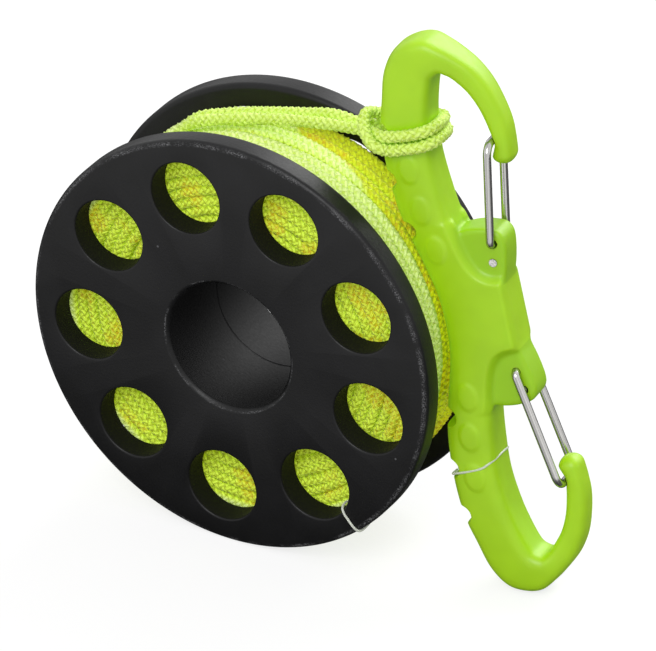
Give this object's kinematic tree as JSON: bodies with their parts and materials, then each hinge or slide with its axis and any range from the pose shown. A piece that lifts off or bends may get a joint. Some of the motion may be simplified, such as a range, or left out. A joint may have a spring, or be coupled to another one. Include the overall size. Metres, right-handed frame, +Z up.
{
  "type": "fishing line spool",
  "caption": "Flat finger spool of braided line with perforated flanges, and a double-ended clip with two sprung wire gates hitched to the line's end.",
  "frame": {"origin": "centre of the finger bore, midway between the flanges' outer faces", "axes": "+Y along the spool's axis from the front flange to the rear flange, +Z up, +X from the spool to the clip; the flanges' rims and the clip's lower hook stand on Z = -0.045"},
  "size_m": [0.1167, 0.0329, 0.1129],
  "materials": {
    "black_plastic": "satin moulded black plastic",
    "yellow_line": "braided fluorescent yellow-green nylon",
    "lime_plastic": "satin fluorescent lime plastic, slightly translucent",
    "gate_wire": "polished stainless spring wire",
    "clear_tie": "clear glossy plastic filament"
  },
  "bodies": {
    "clip": {"clip_body": "lime_plastic", "line_tail": "yellow_line", "tie_on_clip": "clear_tie"},
    "spool": {"front_half": "black_plastic", "rear_half": "black_plastic", "line_winding": "yellow_line", "tie_on_spool": "clear_tie"},
    "upper_gate": {"upper_gate": "gate_wire"},
    "lower_gate": {"lower_gate": "gate_wire"}
  },
  "joints": [
    {"name": "spool_spin", "type": "hinge", "parent": "clip", "child": "spool", "pos_m": [0, 0, 0], "axis": [0, 1, 0], "continuous": true},
    {"name": "upper_gate_hinge", "type": "hinge", "parent": "clip", "child": "upper_gate", "pos_m": [0.04922, 0.00518, 0.02408], "axis": [0.153, -0.9815, 0.1153], "range_deg": [0, 22], "stiffness_Nm_per_rad": 0.1, "springref_deg": -5.73},
    {"name": "lower_gate_hinge", "type": "hinge", "parent": "clip", "child": "lower_gate", "pos_m": [0.05555, 0.00358, 0.00203], "axis": [-0.153, 0.9815, -0.1153], "range_deg": [0, 22], "stiffness_Nm_per_rad": 0.1, "springref_deg": -5.73}
  ]
}
